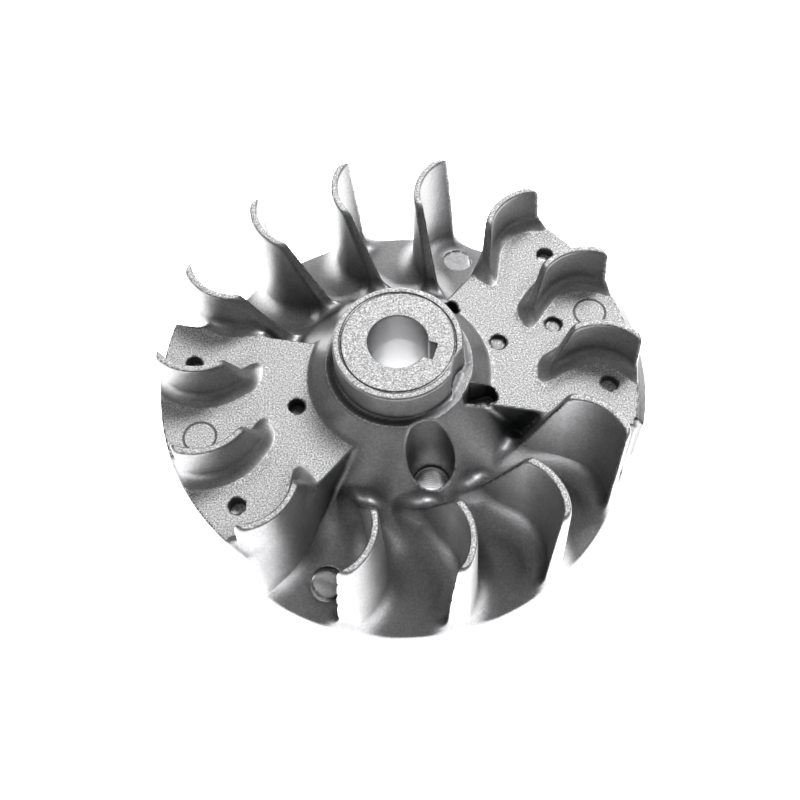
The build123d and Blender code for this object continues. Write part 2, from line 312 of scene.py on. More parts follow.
def blade_line(x, y):
    """Distance in plan to the middle line of the nearest blade: an arc, then a straight to the nose."""
    tip = np.array(place(BLADE_TIP_R, -math.degrees(BLADE_SWEEP)))
    corner = np.array([BLADE_CORNER_R, 0.0])
    chord = np.hypot(*(tip - corner))
    along = (tip - corner) / chord
    side = np.array([-along[1], along[0]])
    bend = chord**2 / (8 * BLADE_SAGITTA) + BLADE_SAGITTA / 2
    half = math.asin(chord / 2 / bend)
    centre = (corner + tip) / 2 + side * (BLADE_SAGITTA - bend)
    inward = -along * math.cos(half) - side * math.sin(half)
    straight = BLADE_CORNER_R - BLADE_NOSE_R + BLADE_PAST_NOSE
    beyond = BLADE_PAST_TIP / bend
    radius = np.hypot(x, y)
    angle = np.mod(np.arctan2(y, x) - BLADE_CORNER_ANGLE, BLADE_PITCH)
    nearest = None
    for shift in (0.0, -BLADE_PITCH):
        px = radius * np.cos(angle + shift)
        py = radius * np.sin(angle + shift)
        qx = px - centre[0]
        qy = py - centre[1]
        bearing = np.arctan2(qx * along[0] + qy * along[1], qx * side[0] + qy * side[1])
        off = bearing - np.clip(bearing, -half, half + beyond)
        span = np.hypot(qx, qy)
        arc = np.hypot(span * np.cos(off) - bend, span * np.sin(off))
        reach = np.clip((px - corner[0]) * inward[0] + (py - corner[1]) * inward[1], 0, straight)
        line = np.hypot(px - corner[0] - reach * inward[0], py - corner[1] - reach * inward[1])
        here = np.minimum(arc, line)
        nearest = here if nearest is None else np.minimum(nearest, here)
    return nearest


def blades(x, y, z, edge):
    """Drafted blade walls, cut by a slanting front edge, the top and an upright outer edge."""
    radius = np.hypot(x, y)
    half = BLADE_WALL / 2 + (BLADE_TOP_Z - z) * math.tan(BLADE_DRAFT)
    wall = blade_line(x, y) - half
    run = BLADE_CORNER_R - BLADE_NOSE_R
    rise = BLADE_TOP_Z - BLADE_NOSE_Z
    front = ((z - BLADE_NOSE_Z) * run - (radius - BLADE_NOSE_R) * rise) / math.hypot(run, rise)
    outside = radius - BLADE_TIP_R - np.maximum(BLADE_TOP_Z - z, 0) * BLADE_OUTER_DRAFT
    outline = soft_max(front, z - BLADE_TOP_Z, BLADE_TOP_ROUND)
    outline = soft_max(outline, outside, BLADE_TOP_ROUND)
    return soft_max(wall, outline, edge)


def shoe(x, y, degrees, side):
    """Outline of one stack of sheets in a sector."""
    outer = SHOE_OUTER_R[degrees]
    near, far = SHOE_FACE_ANGLES
    reach = outer * 1.2
    corners = [
        (SHOE_INNER, MAGNET_HALF),
        (MAGNET_OUTER, MAGNET_HALF),
        (reach * math.cos(near), reach * math.sin(near)),
        (reach * math.cos(far), reach * math.sin(far)),
        (outer * 0.9 * math.cos(far), outer * 0.9 * math.sin(far)),
        SHOE_HEEL,
    ]
    along, across = turned(x, y, degrees)
    across = across * side
    inside = np.hypot(x, y) - outer
    for (ax, ay), (bx, by) in zip(corners, corners[1:] + corners[:1]):
        length = math.hypot(bx - ax, by - ay)
        inside = np.maximum(inside, ((along - ax) * (by - ay) - (across - ay) * (bx - ax)) / length)
    return inside


def stacks(x, y, z):
    """Room for the cast-in stacks, their rivets and the magnet."""
    room = None
    for degrees in (MAGNET_ANGLE, WEIGHT_ANGLE):
        top = INSERT_TOP[degrees] - RIVET_HEAD
        bottom = top - STACK_HEIGHT
        level = np.maximum(z - top, bottom - z)
        for side in (-1, 1):
            here = np.maximum(shoe(x, y, degrees, side), level)
            second = math.degrees(math.atan2(SECOND_RIVET[1], SECOND_RIVET[0]))
            for at, turn in ((INSERT_PIN_R, INSERT_PIN_ANGLE), (math.hypot(*SECOND_RIVET), second)):
                centre = place(at, degrees + side * turn)
                head = post(x, y, z, RIVET_HEAD_R, INSERT_TOP[degrees], bottom - RIVET_HEAD, centre)
                here = np.minimum(here, head)
            room = here if room is None else np.minimum(room, here)
    along, across = turned(x, y, MAGNET_ANGLE)
    bar = np.maximum(np.abs(across) - MAGNET_HALF, np.maximum(SHOE_INNER - along, along - MAGNET_OUTER))
    top = INSERT_TOP[MAGNET_ANGLE] - RIVET_HEAD
    bar = np.maximum(bar, np.maximum(z - top, top - STACK_HEIGHT - z))
    return np.minimum(room, bar)


def hollow(x, y, z):
    """Hollow under the web, left full where the stacks and the puller holes are."""
    radius = np.hypot(x, y)
    space = soft_max(web_top(radius, z + WEB_DROP), z - UNDERCUT_TOP_Z, HOLLOW_TOP_FILLET)
    space = soft_max(space, np.maximum(BOSS_R - radius, radius - RIM_R + RIM_WALL), HOLLOW_FILLET)
    for degrees in (MAGNET_ANGLE, WEIGHT_ANGLE):
        block = np.maximum(sector_sides(x, y, degrees), SECTOR_FLOOR_Z - z)
        space = soft_max(space, -block, HOLLOW_FILLET)
    for degrees in PULLER_ANGLES:
        away = from_axis(x, y, place(PULLER_R, degrees))
        boss = np.maximum(away - PULLER_BOSS_R, PULLER_BASE_Z - z)
        space = soft_max(space, -boss, BOSS_FILLET)
    return space


def bore(x, y, z):
    """Straight land, the taper below it and the keyway."""
    radius = np.hypot(x, y)
    hole = radius - BORE_R - np.maximum(-z - BORE_LAND, 0) * TAPER / 2
    along, across = turned(x, y, KEY_ANGLE)
    slot = np.maximum(np.abs(across) - KEY_WIDTH / 2, np.maximum(along - KEY_REACH, -along))
    return np.minimum(hole, slot)


def puller_pockets(x, y, z):
    """Drafted pockets over the puller threads, and the threads' major diameter."""
    room = None
    for degrees in PULLER_ANGLES:
        away = from_axis(x, y, place(PULLER_R, degrees))
        flare = (z - SECTOR_Z + PULLER_POCKET_LEVEL) * PULLER_POCKET_DRAFT
        pocket = np.maximum(away - PULLER_POCKET_R - flare, PULLER_SEAT_Z - z)
        hole = away - PULLER_THREAD_R - PULLER_THREAD_DEPTH
        here = np.maximum(soft_min(pocket, hole, POCKET_SEAT_FILLET), z - LEDGE_Z)
        room = here if room is None else np.minimum(room, here)
    return room


def sector_cuts(x, y, z):
    """Corner slots and locating holes."""
    radius = np.hypot(x, y)
    along, across = turned(x, y, MAGNET_ANGLE)
    wide = np.abs(np.abs(across) - SLOT_OFFSET) - SLOT_WIDTH / 2
    room = soft_max(wide, along - SLOT_OUTER, SLOT_END_ROUND)
    room = np.maximum(room, np.maximum(SLOT_INNER - along, LEDGE_R - radius))
    room = np.maximum(room, SECTOR_Z - SLOT_DEPTH - z)
    for degrees in (MAGNET_ANGLE, WEIGHT_ANGLE):
        for side in (-1, 1):
            centre = place(INSERT_PIN_R, degrees + side * INSERT_PIN_ANGLE)
            room = np.minimum(room, post(x, y, z, PIN_R, 0.0, INSERT_TOP[degrees], centre))
        for at in SHALLOW_PINS[degrees]:
            bottom = SECTOR_Z - SHALLOW_PIN_DEPTH[degrees]
            room = np.minimum(room, post(x, y, z, PIN_R, 0.0, bottom, place(at, degrees)))
    return room


def cast_wheel(x, y, z):
    """The whole casting as one distance, less than zero in the metal."""
    size = bpy.context.scene.flywheel_casting
    radius = np.hypot(x, y)
    body = soft_max(web_top(radius, z), z - LEDGE_Z, LEDGE_EDGE)
    body = soft_max(body, radius - RIM_R, size.edge_round)
    for degrees in (MAGNET_ANGLE, WEIGHT_ANGLE):
        block = soft_max(sector_sides(x, y, degrees), z - SECTOR_Z, size.edge_round)
        block = soft_max(block, outer_limit(x, y, z), size.edge_round)
        body = soft_min(body, block, SECTOR_FILLET)
    fillet = size.blade_fillet + np.clip(SECTOR_Z - z, 0, FILLET_GROWTH_DEPTH) * FILLET_GROWTH
    body = soft_min(body, blades(x, y, z, size.edge_round), fillet)
    for at, degrees in WEB_EJECTORS:
        centre = place(at, degrees)
        raised = post(x, y, z, EJECTOR_R, WEB_EJECTOR_Z, WEB_EDGE_Z, centre)
        sunk = post(x, y, z, EJECTOR_R, SECTOR_Z, WEB_EJECTOR_Z, centre)
        body = cut(soft_min(body, raised, SPOT_EDGE), sunk, SPOT_EDGE)
    body = soft_max(body, outer_limit(x, y, z), PAD_EDGE)
    body = np.minimum(body, magnet_pad(x, y, z))
    hub = soft_max(radius - HUB_R, z, HUB_EDGE)
    body = soft_min(body, hub, HUB_FILLET)
    scallop = from_axis(x, y, place(HUB_R - SCALLOP_DEPTH + SCALLOP_R, SCALLOP_ANGLE)) - SCALLOP_R
    body = cut(body, np.maximum(scallop, LEDGE_Z - z), SCALLOP_EDGE)
    body = np.maximum(body, RIM_BASE_Z - z)
    body = np.maximum(body, np.where(radius < BOSS_R + 2 * MM, HUB_BASE_Z - z, RIM_BASE_Z - z))
    body = cut(body, hollow(x, y, z), HOLLOW_EDGE)
    body = cut(body, stacks(x, y, z), STACK_EDGE)
    body = cut(body, sector_cuts(x, y, z), HOLE_EDGE)
    body = cut(body, puller_pockets(x, y, z), POCKET_EDGE)
    witness = np.maximum(np.abs(radius - WITNESS_R) - WITNESS_WIDTH / 2, -WITNESS_DEPTH - z)
    body = np.maximum(body, -witness)
    return cut(body, bore(x, y, z), BORE_EDGE)


def above_split(x, y, z):
    """The hub above the ledge, meshed finely."""
    return np.maximum(cast_wheel(x, y, z), HUB_SPLIT_Z - z)


def below_split(x, y, z):
    """The wheel without the part of the hub that is meshed finely."""
    hub = np.maximum(HUB_SPLIT_Z - z, np.hypot(x, y) - LEDGE_R - 1 * MM)
    return np.maximum(cast_wheel(x, y, z), -hub)


# ---------------------------------------------------------------- meshing
def gradient(solid, points, reach):
    """Unit direction in which a distance grows."""
    sums = np.zeros_like(points)
    for signs in ((1, 1, 1), (1, -1, -1), (-1, 1, -1), (-1, -1, 1)):
        step = np.array(signs) * reach
        value = solid(*(points + step).T)
        sums += value[:, None] * step
    return sums / np.maximum(np.linalg.norm(sums, axis=1, keepdims=True), 1e-12)


def contour(solid, low, high, step):
    """Vertices and four-sided faces of a distance's zero surface, with vertices drawn to its edges."""
    axes = [a + step * np.arange(int((b - a) / step) + 2) for a, b in zip(low, high)]
    x, y, z = np.meshgrid(*axes, indexing="ij", sparse=True)
    field = solid(x, y, z)
    metal = field < 0
    counts = np.array(field.shape)
    strides = np.array([counts[1] * counts[2], counts[2], 1])
    cells, crossings = [], []
    for axis in range(3):
        first = np.take(metal, range(counts[axis] - 1), axis)
        second = np.take(metal, range(1, counts[axis]), axis)
        corner = np.argwhere(first != second)
        far = corner + np.eye(3, dtype=int)[axis]
        a = field[tuple(corner.T)]
        b = field[tuple(far.T)]
        point = corner.astype(float)
        point[:, axis] += a / (a - b)
        crossings.append(np.array(low) + point * step)
        u, v = strides[(axis + 1) % 3], strides[(axis + 2) % 3]
        base = corner @ strides
        ring = np.stack([base, base - u, base - u - v, base - v], axis=1)
        falling = (a < 0)[:, None]
        cells.append(np.where(falling, ring, ring[:, ::-1]))
    cells = np.concatenate(cells)
    crossings = np.concatenate(crossings)
    normals = gradient(solid, crossings, step * 0.05)
    names, faces = np.unique(cells, return_inverse=True)
    faces = faces.reshape(cells.shape)
    total = len(names)

    def gathered(values):
        return np.bincount(faces.ravel(), weights=np.repeat(values, 4), minlength=total)

    share = gathered(np.ones(len(crossings)))
    middle = np.stack([gathered(crossings[:, k]) for k in range(3)], axis=1) / share[:, None]
    pull = 0.05
    matrix = np.zeros((total, 3, 3))
    for i in range(3):
        for j in range(i, 3):
            matrix[:, i, j] = matrix[:, j, i] = gathered(normals[:, i] * normals[:, j])
    along = np.einsum("ij,ij->i", normals, crossings)
    right = np.stack([gathered(normals[:, k] * along) for k in range(3)], axis=1)
    right -= np.einsum("nij,nj->ni", matrix, middle)
    matrix += np.eye(3) * pull * share[:, None, None]
    shift = np.linalg.solve(matrix, right[:, :, None])[:, :, 0]
    length = np.linalg.norm(shift, axis=1, keepdims=True)
    shift *= np.minimum(1, step * 0.9 / np.maximum(length, 1e-12))
    return middle + shift, faces


def puller_thread(centre, steps_round=40, steps_pitch=8):
    """Threaded liner of a puller hole: a helical ridge inside, a plain wall outside."""
    top = PULLER_SEAT_Z + THREAD_LINER_TOP
    height = top - PULLER_BASE_Z + THREAD_LINER_BASE
    rows = int(height / PULLER_THREAD_PITCH * steps_pitch)
    turn = np.arange(steps_round) * math.tau / steps_round
    level = top - np.arange(rows + 1) / rows * height
    angle, height_at = np.meshgrid(turn, level)
    phase = np.mod(height_at / PULLER_THREAD_PITCH - angle / math.tau, 1)
    ridge = np.clip(THREAD_CREST - np.abs(phase - 0.5) * THREAD_FLANK, 0, 1)
    fade = np.clip((top - height_at) / (THREAD_FADE * PULLER_THREAD_PITCH), 0, 1)
    radius = PULLER_THREAD_R + PULLER_THREAD_DEPTH * (1 - ridge * fade)
    inner = np.stack(
        [centre[0] + radius * np.cos(angle), centre[1] + radius * np.sin(angle), height_at], axis=2
    )
    wall = PULLER_THREAD_R + PULLER_THREAD_DEPTH + THREAD_LINER_WALL
    outer = inner.copy()
    outer[:, :, 0] = centre[0] + wall * np.cos(angle)
    outer[:, :, 1] = centre[1] + wall * np.sin(angle)
    rings = np.concatenate([inner, outer[::-1]])
    total = len(rings)
    index = np.arange(total * steps_round).reshape(total, steps_round)
    below = np.roll(index, -1, axis=0)
    faces = np.stack(
        [index, np.roll(index, -1, axis=1), np.roll(below, -1, axis=1), below], axis=2
    ).reshape(-1, 4)
    return rings.reshape(-1, 3), faces


def openness(solid, points, normals, reach):
    """How free the space is in front of each point: 1 in the open, 0 in a corner."""
    return np.clip(solid(*(points + normals * reach).T) / reach, 0, 1)


def sharpness(solid, points, normals, reach):
    """How thin the metal is behind each point: 1 at a thin edge, 0 on a broad face."""
    return 1 - np.clip(-solid(*(points - normals * reach).T) / reach, 0, 1)


def blast_and_highlight_share(points, normals):
    """1 on the level faces that are shot-blasted, and on the upward faces round the blade noses as a painted
    highlight, 0 on the smooth cast faces.
    """
    radius = np.hypot(points[:, 0], points[:, 1])
    share = np.zeros(len(points))
    for level, inner, outer, tolerance in (
        (0.0, 0.0, HUB_R, 0.9 * MM),
        (LEDGE_Z, HUB_R, LEDGE_R, 0.4 * MM),
        (SECTOR_Z, LEDGE_R, PAD_R, 0.4 * MM),
        (SECTOR_Z - SLOT_DEPTH, LEDGE_R, 20 * MM, 0.4 * MM),
        (SECTOR_Z - SHALLOW_PIN_DEPTH[MAGNET_ANGLE], LEDGE_R, PAD_R, 0.4 * MM),
        (SECTOR_Z - SHALLOW_PIN_DEPTH[WEIGHT_ANGLE], LEDGE_R, PAD_R, 0.4 * MM),
        # Painted highlight: the bright grainy finish is laid round the blade noses in place of the lamp's
        # glint on the fillets there.
        (BLADE_NOSE_Z, BLADE_NOSE_R - 3 * MM, BLADE_NOSE_R + 1.5 * MM, 1.0 * MM),
        (BLADE_TOP_Z, BLADE_CORNER_R - 2 * MM, PAD_R, 0.3 * MM),
    ):
        near = np.clip(1.1 - np.abs(points[:, 2] - level) / tolerance, 0, 1)
        within = (radius > inner) & (radius < outer + 0.2 * MM)
        share = np.maximum(share, near * within)
    return share * np.clip((normals[:, 2] - 0.75) / 0.2, 0, 1)


def bevel_share(points):
    """1 on the bevel above the magnet sector's turned face."""
    radius = np.hypot(points[:, 0], points[:, 1])
    bevel = np.clip((pad_bevel(radius, points[:, 2]) + 0.3 * MM) / (0.15 * MM), 0, 1)
    level = (points[:, 2] > PAD_BASE_Z) & (points[:, 2] < SECTOR_Z - 0.1 * MM)
    return bevel * level * (magnet_pad(*points.T) < 0.1 * MM)


# ---------------------------------------------------------------- materials
class Socket:
    """A value in a shader, on which Python's operators add Math nodes."""

    def __init__(self, shader, output):
        self.shader = shader
        self.output = output

    def math(self, operation, *values):
        return self.shader.node("ShaderNodeMath", {"operation": operation}, {
            k: v for k, v in enumerate((self, *values))
        })

    def __add__(self, other):
        return self.math("ADD", other)

    def __sub__(self, other):
        return self.math("SUBTRACT", other)

    def __mul__(self, other):
        return self.math("MULTIPLY", other)

    def __truediv__(self, other):
        return self.math("DIVIDE", other)

    def __rsub__(self, other):
        return (self * -1) + other

    __radd__ = __add__
    __rmul__ = __mul__

    def above(self, low, high):
        """0 up to low, 1 from high, smooth between."""
        limits = {"Value": self, "From Min": low, "From Max": high}
        return self.shader.node("ShaderNodeMapRange", {"interpolation_type": "SMOOTHSTEP"}, limits)


class Shader:
    """The nodes of one material or of the world."""

    def __init__(self, owner, surface="Principled BSDF"):
        owner.use_nodes = True
        self.owner = owner
        self.tree = owner.node_tree
        self.surface = self.tree.nodes[surface]

    def node(self, kind, settings=None, inputs=None, output=0):
        """Adds a node, sets its settings and then its sockets, and returns one output."""
        made = self.tree.nodes.new(kind)
        for name, value in (settings or {}).items():
            if name == "stops":
                self.set_stops(made.color_ramp, value)
            else:
                setattr(made, name, value)
        for name, value in (inputs or {}).items():
            self.put(made.inputs[name], value)
        return Socket(self, made.outputs[output])

    def set_stops(self, ramp, stops):
        for extra in stops[2:]:
            ramp.elements.new(extra[0])
        for element, (position, colour) in zip(ramp.elements, stops):
            element.position = position
            element.color = (*colour, 1.0)

    def put(self, socket, value):
        if isinstance(value, Socket):
            self.tree.links.new(value.output, socket)
        else:
            socket.default_value = value

    def mix(self, factor, first, second):
        """Colour between two colours."""
        made = self.tree.nodes.new("ShaderNodeMix")
        made.data_type = "RGBA"
        for socket, value in ((made.inputs[0], factor), (made.inputs[6], first), (made.inputs[7], second)):
            if isinstance(value, tuple) and len(value) == 3:
                value = (*value, 1.0)
            self.put(socket, value)
        return Socket(self, made.outputs[2])

    def place(self):
        """Position on the piece, moved off the lattice of the noise."""
        where = self.node("ShaderNodeTexCoord", {}, {}, "Object")
        return self.node("ShaderNodeVectorMath", {"operation": "ADD"}, {0: where, 1: NOISE_SHIFT})

    def noise(self, size, detail=2.0, rough=0.5, stretch=None):
        """Noise whose grains are about size across, in metres."""
        where = self.place()
        if stretch:
            where = self.node("ShaderNodeVectorMath", {"operation": "MULTIPLY"}, {0: where, 1: stretch})
        inputs = {"Vector": where, "Scale": 1 / size, "Detail": detail, "Roughness": rough}
        return self.node("ShaderNodeTexNoise", {}, inputs)

    def away(self, centre):
        """Distance from an upright axis."""
        where = self.node("ShaderNodeTexCoord", {}, {}, "Object")
        flat = self.node("ShaderNodeVectorMath", {"operation": "MULTIPLY"}, {0: where, 1: (1.0, 1.0, 0.0)})
        ends = {0: flat, 1: (*centre, 0.0)}
        return self.node("ShaderNodeVectorMath", {"operation": "DISTANCE"}, ends, "Value")

    def ring(self, centre, radius, width):
        """1 on a thin circle about an upright axis, 0 away from it."""
        return 1 - (self.away(centre) - radius).math("ABSOLUTE").above(width / 2, width)

    def held(self, name):
        """A value stored on the mesh's points."""
        return self.node("ShaderNodeAttribute", {"attribute_name": name}, {}, "Fac")

    def bump(self, height, depth, strength=1.0, under=None):
        inputs = {"Height": height, "Distance": depth, "Strength": strength}
        if under:
            inputs["Normal"] = under
        return self.node("ShaderNodeBump", {}, inputs)

    def set(self, **values):
        """Sets sockets of the Principled node, named in lower case with underscores."""
        for name, value in values.items():
            socket = self.surface.inputs[name.replace("_", " ").title().replace("Ior", "IOR")]
            if isinstance(value, tuple) and len(value) == 3:
                value = (*value, 1.0)
            self.put(socket, value)


def cast_aluminium():
    """Die-cast aluminium: smooth and grey, but bright and grainy where it was blasted, with painted shade in
    corners, on the sector bevel and in the thread roots, and painted highlights at the blade noses and thread
    crests.
    """
    finish = bpy.context.scene.flywheel_finish
    shader = Shader(bpy.data.materials.new("cast_aluminium"))
    blasted = shader.held("blasted")
    free = shader.held("open")
    edge = shader.held("edge")
    grain = shader.noise(finish.grain, 3.0, 0.7)
    patches = shader.noise(6 * MM, 3.0, 0.55)
    fine = shader.noise(0.9 * MM, 3.0, 0.6)
    ragged = (blasted * free.above(0.45, 0.95) + (fine - 0.5) * 0.3).above(0.25, 0.85)
    speckle = grain.above(0.32, 0.68)
    marks = [shader.ring(place(FLAT_EJECTOR_R, degrees), EJECTOR_R, EJECTOR_LINE) for degrees in SHALLOW_PINS]
    mottle = patches * 0.35 + shader.noise(0.45 * MM, 3.0, 0.65) * 0.65
    smooth_tone = shader.mix(mottle.above(0.35, 0.65), tuple(finish.cast_dark), tuple(finish.cast_light))
    bored = 1 - shader.away((0.0, 0.0)).above(KEY_REACH, KEY_REACH + 0.3 * MM)
    smooth_tone = shader.mix(bored, smooth_tone, BORE_TONE)
    cuts = shader.noise(0.25 * MM, 3.0, 0.7, TURNED_STRETCH)
    # Painted shade: the bevel above the magnet sector's turned face is painted near black, with turned marks
    # in it.
    bevel = shader.held("bevel")
    bevel_shade_tone = shader.mix(cuts.above(0.3, 0.7), *BEVEL_SHADE_TONES)
    smooth_tone = shader.mix(bevel, smooth_tone, bevel_shade_tone)
    bright_tone = shader.mix(speckle, tuple(finish.blasted_dark), tuple(finish.blasted_light))
    tone = shader.mix(ragged, smooth_tone, bright_tone)
    # Painted shade: corners and recesses, where little space is open in front of the skin, are darkened
    # towards a near-black tone.
    painted_corner_shade = (1 - free.above(0.3, 1.0)) * finish.painted_corner_shade
    tone = shader.mix(painted_corner_shade, tone, CORNER_SHADE_TONE)
    worn = edge.above(0.35, 0.9) * fine.above(0.3, 0.6) * 0.5
    tone = shader.mix(worn, tone, tuple(finish.blasted_light))
    mark = (marks[0] + marks[1]) * ragged
    tone = shader.mix(mark * 0.8, tone, MARK_TONE)
    rough = 0.46 + ragged * 0.16 + (patches - 0.5) * 0.06 - bored * 0.1 - bevel * 0.2
    skin = shader.bump(fine + grain * 0.3, 0.06 * MM, 0.7)
    skin = shader.bump(speckle * ragged - mark, 0.1 * MM, 0.9, skin)
    shader.set(base_color=tone, roughness=rough, metallic=0.9 - ragged * 0.4, normal=skin)
    return shader.owner


def turned_steel():
    """Edges of the punched sheets, turned and slightly rusted."""
    shader = Shader(bpy.data.materials.new("turned_sheet_steel"))
    rings = shader.noise(0.25 * MM, 3.0, 0.7, TURNED_STRETCH)
    stain = shader.noise(2.5 * MM, 4.0, 0.65).above(0.5, 0.72)
    tone = shader.mix(rings.above(0.3, 0.7), *SHEET_TONES)
    tone = shader.mix(stain * 0.5, tone, STAIN_TONE)
    where = shader.node("ShaderNodeTexCoord", {}, {}, "Object")
    height = shader.node("ShaderNodeSeparateXYZ", {}, {"Vector": where}, "Z")
    layer = (INSERT_TOP[MAGNET_ANGLE] - RIVET_HEAD - height) / (STACK_HEIGHT / SHEETS)
    middle = (layer.math("FRACT") - 0.5).math("ABSOLUTE")
    seam = middle.above(0.42, 0.49)
    tone = shader.mix(seam * 0.85, tone, SEAM_TONE)
    skin = shader.bump(rings - seam * 2, 0.03 * MM)
    shader.set(base_color=tone, roughness=0.35 + stain * 0.3, metallic=0.9, normal=skin)
    return shader.owner


def rivet_steel():
    """Plain rivet steel with a dull, slightly pitted face."""
    shader = Shader(bpy.data.materials.new("rivet_steel"))
    pits = shader.noise(0.3 * MM, 3.0, 0.6)
    tone = shader.mix(pits.above(0.35, 0.65), *RIVET_TONES)
    skin = shader.bump(pits, 0.04 * MM)
    shader.set(base_color=tone, roughness=0.45 + pits * 0.2, metallic=0.7, normal=skin)
    return shader.owner


def magnet_alloy():
    """Dark ground magnet."""
    shader = Shader(bpy.data.materials.new("magnet_alloy"))
    scratches = shader.noise(0.4 * MM, 2.0, 0.7, (1.0, 0.08, 1.0))
    tone = shader.mix(scratches.above(0.3, 0.7), *MAGNET_TONES)
    skin = shader.bump(scratches, 0.02 * MM)
    shader.set(base_color=tone, roughness=0.45 + scratches * 0.15, metallic=0.6, normal=skin)
    return shader.owner


# ---------------------------------------------------------------- settings
class FlywheelCasting(bpy.types.PropertyGroup):
    """Mesh spacing and rounding of the casting."""

    mesh_step: FloatProperty(
        name="Mesh step", description="Spacing of the wheel's mesh",
        default=0.4 * MM, unit="LENGTH", precision=5,
    )
    hub_step: FloatProperty(
        name="Hub mesh step", description="Spacing of the hub's mesh",
        default=0.17 * MM, unit="LENGTH", precision=5,
    )
    blade_fillet: FloatProperty(
        name="Blade fillet", description="Fillet at a blade's foot on a raised sector",
        default=2.8 * MM, unit="LENGTH", precision=5,
    )
    edge_round: FloatProperty(
        name="Edge rounding", description="Rounding of the cast edges",
        default=0.45 * MM, unit="LENGTH", precision=5,
    )


class FlywheelFinish(bpy.types.PropertyGroup):
    """Tones and grain of the aluminium."""

    cast_dark: FloatVectorProperty(
        name="Cast, dark", description="Darker tone of the smooth cast faces",
        subtype="COLOR", default=(0.175, 0.175, 0.178),
    )
    cast_light: FloatVectorProperty(
        name="Cast, light", description="Lighter tone of the smooth cast faces",
        subtype="COLOR", default=(0.24, 0.24, 0.243),
    )
    blasted_dark: FloatVectorProperty(
        name="Blasted, dark", description="Darker grains of the blasted faces",
        subtype="COLOR", default=(0.24, 0.24, 0.24),
    )
    blasted_light: FloatVectorProperty(
        name="Blasted, light", description="Brighter grains of the blasted faces",
        subtype="COLOR", default=(0.82, 0.82, 0.82),
    )
    grain: FloatProperty(
        name="Grain", description="Size of the blasted grain", default=0.28 * MM, unit="LENGTH", precision=5
    )
    # Strength of the painted shade that darkens the corners.
    painted_corner_shade: FloatProperty(
        name="Corner shade", description="How dark the corners are", default=0.8, min=0, max=1, subtype="FACTOR"
    )


class FlywheelStage(bpy.types.PropertyGroup):
    """Lamps, sky, floor and camera."""

    low_power: FloatProperty(
        name="Low lamp", description="Lamp low at the front left", default=0.4, unit="POWER"
    )
    top_power: FloatProperty(
        name="Top lamp", description="Lamp above, at the back right", default=5.2, unit="POWER"
    )
    sky_low: FloatProperty(name="Sky, low", description="Light from all round near the floor", default=0.10)
    sky_high: FloatProperty(name="Sky, high", description="Light from overhead", default=0.46)
    floor_glow: FloatProperty(name="Floor glow", description="Light that the floor gives", default=4.4)
    floor_tone: FloatVectorProperty(
        name="Floor", description="Tone of the floor", subtype="COLOR", default=(0.86, 0.86, 0.86)
    )
    lens: FloatProperty(name="Lens", description="Focal length in millimetres", default=51.4)
    distance: FloatProperty(
        name="Camera distance", description="From the middle of the sectors' level", default=204.66 * MM,
        unit="LENGTH", precision=5,
    )
    elevation: FloatProperty(
        name="Camera elevation", description="Angle above the floor",
        default=math.radians(60.53), subtype="ANGLE",
    )
    roll: FloatProperty(
        name="Camera roll", description="Tilt of the camera", default=math.radians(-3.44), subtype="ANGLE"
    )


# ---------------------------------------------------------------- operators
def wheel_object(name, parts):
    """One mesh object from shells of vertices and faces, with its point values and normals."""
    vertices, faces, normals, opens, edges, blasts_and_highlights, bevels = [], [], [], [], [], [], []
    start = 0
    for points, quads in parts:
        direction = gradient(cast_wheel, points, NORMAL_REACH)
        vertices.append(points)
        faces.append(quads + start)
        normals.append(direction)
        near, far = (openness(cast_wheel, points, direction, reach) for reach in OPEN_REACHES)
        opens.append((near + far) / 2)
        edges.append(sharpness(cast_wheel, points, direction, EDGE_REACH))
        blasts_and_highlights.append(blast_and_highlight_share(points, direction))
        bevels.append(bevel_share(points))
        start += len(points)
    vertices = np.concatenate(vertices)
    faces = np.concatenate(faces)
    mesh = bpy.data.meshes.new(name)
    mesh.vertices.add(len(vertices))
    mesh.vertices.foreach_set("co", vertices.ravel())
    mesh.loops.add(faces.size)
    mesh.loops.foreach_set("vertex_index", faces.ravel())
    mesh.polygons.add(len(faces))
    mesh.polygons.foreach_set("loop_start", np.arange(len(faces)) * 4)
    mesh.update(calc_edges=True)
    mesh.validate()
    for label, values in (("open", opens), ("edge", edges), ("blasted", blasts_and_highlights), ("bevel", bevels)):
        attribute = mesh.attributes.new(label, "FLOAT", "POINT")
        attribute.data.foreach_set("value", np.concatenate(values))
    mesh.normals_split_custom_set_from_vertices(np.concatenate(normals))
    piece = bpy.data.objects.new(name, mesh)
    bpy.context.collection.objects.link(piece)
    return piece


class FLYWHEEL_OT_cast_wheel(bpy.types.Operator):
    """Builds the skin of the casting: hub, web, sectors and blades"""

    bl_idname = "flywheel.cast_wheel"
    bl_label = "Cast wheel"

    def execute(self, context):
        size = context.scene.flywheel_casting
        low, high = (np.array(corner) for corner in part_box("wheel_casting"))
        margin = 1 * MM
        points, quads = contour(below_split, low - margin, high + margin, size.mesh_step)
        hub_low = np.array([-LEDGE_R, -LEDGE_R, HUB_SPLIT_Z - margin])
        hub_high = np.array([LEDGE_R, LEDGE_R, margin])
        hub_points, hub_quads = contour(above_split, hub_low, hub_high, size.hub_step)
        piece = wheel_object("cast_wheel", [(points, quads), (hub_points, hub_quads)])
        piece.data.materials.append(cast_aluminium())
        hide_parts("wheel_casting")
        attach(piece, "root")
        print("cast wheel faces:", len(piece.data.polygons))
        return {"FINISHED"}


